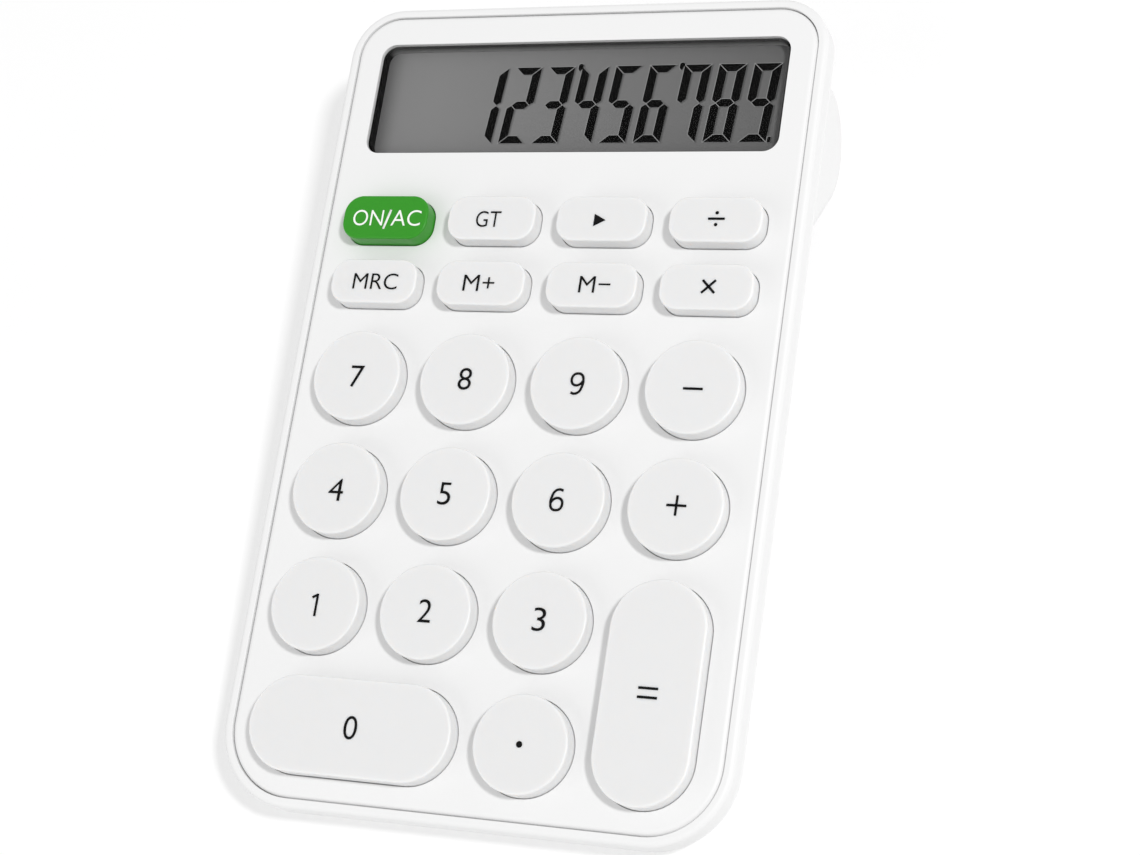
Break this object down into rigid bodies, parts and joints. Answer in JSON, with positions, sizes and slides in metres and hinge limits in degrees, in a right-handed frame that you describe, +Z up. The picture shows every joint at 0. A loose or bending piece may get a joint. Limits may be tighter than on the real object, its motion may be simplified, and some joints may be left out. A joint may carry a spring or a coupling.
{
  "type": "desk calculator",
  "caption": "Compact desk calculator with a wide recessed display, low round and pill keys, one green key, and a rear lobe that holds a cell and tilts the face.",
  "frame": {"origin": "centre of the footprint, on the surface that the feet stand on", "axes": "+X to the user's right, +Y from the bottom row of keys to the display, +Z up from the desk; the face leans towards the user"},
  "size_m": [0.0974, 0.158, 0.0262],
  "materials": {
    "case_white": "moulded ABS, fine satin texture",
    "key_white": "moulded ABS, satin",
    "key_green": "moulded ABS, semi-gloss green",
    "clear_lens": "clear acrylic",
    "black_bezel": "moulded black ABS",
    "lcd_glass": "display glass",
    "lcd_film": "grey polarising film",
    "black_rubber": "conductive rubber",
    "silicone_mat": "translucent silicone",
    "board_laminate": "phenolic laminate",
    "epoxy_black": "cured epoxy",
    "capacitor_sleeve": "heat-shrunk sleeve",
    "cell_jacket": null,
    "plated_steel": "nickel-plated spring steel",
    "wire_red": "insulated wire",
    "wire_black": "insulated wire",
    "screw_steel": "zinc-plated steel",
    "foot_rubber": "moulded rubber"
  },
  "bodies": {
    "case": {"battery_cell": "cell_jacket", "battery_plate": "plated_steel", "battery_spring": "plated_steel", "battery_wire_black": "wire_black", "battery_wire_red": "wire_red", "board_screws": "screw_steel", "capacitor": "capacitor_sleeve", "case_screws": "screw_steel", "chip_blob": "epoxy_black", "chip_resistors": "epoxy_black", "circuit_board": "board_laminate", "contact_strip": "black_rubber", "display_window": "clear_lens", "face_panel": "case_white", "front_foot_left": "foot_rubber", "front_foot_right": "foot_rubber", "front_frame": "case_white", "key_mat": "silicone_mat", "lcd_bezel": "black_bezel", "lcd_front_glass": "lcd_glass", "lcd_front_polariser": "lcd_film", "lcd_rear_glass": "lcd_glass", "lcd_reflector": "lcd_film", "rear_cover": "case_white", "rear_foot_left": "foot_rubber", "rear_foot_right": "foot_rubber"},
    "key_0": {"key_0": "key_white"},
    "key_1": {"key_1": "key_white"},
    "key_2": {"key_2": "key_white"},
    "key_3": {"key_3": "key_white"},
    "key_4": {"key_4": "key_white"},
    "key_5": {"key_5": "key_white"},
    "key_6": {"key_6": "key_white"},
    "key_7": {"key_7": "key_white"},
    "key_8": {"key_8": "key_white"},
    "key_9": {"key_9": "key_white"},
    "key_backspace": {"key_backspace": "key_white"},
    "key_divide": {"key_divide": "key_white"},
    "key_equals": {"key_equals": "key_white"},
    "key_gt": {"key_gt": "key_white"},
    "key_m_minus": {"key_m_minus": "key_white"},
    "key_m_plus": {"key_m_plus": "key_white"},
    "key_minus": {"key_minus": "key_white"},
    "key_mrc": {"key_mrc": "key_white"},
    "key_multiply": {"key_multiply": "key_white"},
    "key_on_ac": {"key_on_ac": "key_green"},
    "key_plus": {"key_plus": "key_white"},
    "key_point": {"key_point": "key_white"},
    "battery_door": {"battery_door": "case_white"}
  },
  "joints": [
    {"name": "key_0_press", "type": "slide", "parent": "case", "child": "key_0", "axis": [0, 0.1073, -0.9942], "range_m": [0, 0.0012], "stiffness_N_per_m": 300, "springref_m": -0.0005},
    {"name": "key_1_press", "type": "slide", "parent": "case", "child": "key_1", "axis": [0, 0.1073, -0.9942], "range_m": [0, 0.0012], "stiffness_N_per_m": 300, "springref_m": -0.0005},
    {"name": "key_2_press", "type": "slide", "parent": "case", "child": "key_2", "axis": [0, 0.1073, -0.9942], "range_m": [0, 0.0012], "stiffness_N_per_m": 300, "springref_m": -0.0005},
    {"name": "key_3_press", "type": "slide", "parent": "case", "child": "key_3", "axis": [0, 0.1073, -0.9942], "range_m": [0, 0.0012], "stiffness_N_per_m": 300, "springref_m": -0.0005},
    {"name": "key_4_press", "type": "slide", "parent": "case", "child": "key_4", "axis": [0, 0.1073, -0.9942], "range_m": [0, 0.0012], "stiffness_N_per_m": 300, "springref_m": -0.0005},
    {"name": "key_5_press", "type": "slide", "parent": "case", "child": "key_5", "axis": [0, 0.1073, -0.9942], "range_m": [0, 0.0012], "stiffness_N_per_m": 300, "springref_m": -0.0005},
    {"name": "key_6_press", "type": "slide", "parent": "case", "child": "key_6", "axis": [0, 0.1073, -0.9942], "range_m": [0, 0.0012], "stiffness_N_per_m": 300, "springref_m": -0.0005},
    {"name": "key_7_press", "type": "slide", "parent": "case", "child": "key_7", "axis": [0, 0.1073, -0.9942], "range_m": [0, 0.0012], "stiffness_N_per_m": 300, "springref_m": -0.0005},
    {"name": "key_8_press", "type": "slide", "parent": "case", "child": "key_8", "axis": [0, 0.1073, -0.9942], "range_m": [0, 0.0012], "stiffness_N_per_m": 300, "springref_m": -0.0005},
    {"name": "key_9_press", "type": "slide", "parent": "case", "child": "key_9", "axis": [0, 0.1073, -0.9942], "range_m": [0, 0.0012], "stiffness_N_per_m": 300, "springref_m": -0.0005},
    {"name": "key_backspace_press", "type": "slide", "parent": "case", "child": "key_backspace", "axis": [0, 0.1073, -0.9942], "range_m": [0, 0.0012], "stiffness_N_per_m": 300, "springref_m": -0.0005},
    {"name": "key_divide_press", "type": "slide", "parent": "case", "child": "key_divide", "axis": [0, 0.1073, -0.9942], "range_m": [0, 0.0012], "stiffness_N_per_m": 300, "springref_m": -0.0005},
    {"name": "key_equals_press", "type": "slide", "parent": "case", "child": "key_equals", "axis": [0, 0.1073, -0.9942], "range_m": [0, 0.0012], "stiffness_N_per_m": 300, "springref_m": -0.0005},
    {"name": "key_gt_press", "type": "slide", "parent": "case", "child": "key_gt", "axis": [0, 0.1073, -0.9942], "range_m": [0, 0.0012], "stiffness_N_per_m": 300, "springref_m": -0.0005},
    {"name": "key_m_minus_press", "type": "slide", "parent": "case", "child": "key_m_minus", "axis": [0, 0.1073, -0.9942], "range_m": [0, 0.0012], "stiffness_N_per_m": 300, "springref_m": -0.0005},
    {"name": "key_m_plus_press", "type": "slide", "parent": "case", "child": "key_m_plus", "axis": [0, 0.1073, -0.9942], "range_m": [0, 0.0012], "stiffness_N_per_m": 300, "springref_m": -0.0005},
    {"name": "key_minus_press", "type": "slide", "parent": "case", "child": "key_minus", "axis": [0, 0.1073, -0.9942], "range_m": [0, 0.0012], "stiffness_N_per_m": 300, "springref_m": -0.0005},
    {"name": "key_mrc_press", "type": "slide", "parent": "case", "child": "key_mrc", "axis": [0, 0.1073, -0.9942], "range_m": [0, 0.0012], "stiffness_N_per_m": 300, "springref_m": -0.0005},
    {"name": "key_multiply_press", "type": "slide", "parent": "case", "child": "key_multiply", "axis": [0, 0.1073, -0.9942], "range_m": [0, 0.0012], "stiffness_N_per_m": 300, "springref_m": -0.0005},
    {"name": "key_on_ac_press", "type": "slide", "parent": "case", "child": "key_on_ac", "axis": [0, 0.1073, -0.9942], "range_m": [0, 0.0012], "stiffness_N_per_m": 300, "springref_m": -0.0005},
    {"name": "key_plus_press", "type": "slide", "parent": "case", "child": "key_plus", "axis": [0, 0.1073, -0.9942], "range_m": [0, 0.0012], "stiffness_N_per_m": 300, "springref_m": -0.0005},
    {"name": "key_point_press", "type": "slide", "parent": "case", "child": "key_point", "axis": [0, 0.1073, -0.9942], "range_m": [0, 0.0012], "stiffness_N_per_m": 300, "springref_m": -0.0005},
    {"name": "battery_door_hinge", "type": "hinge", "parent": "case", "child": "battery_door", "pos_m": [0, 0.04218, 0.00745], "axis": [-1, 0, 0], "range_deg": [0, 75]}
  ]
}
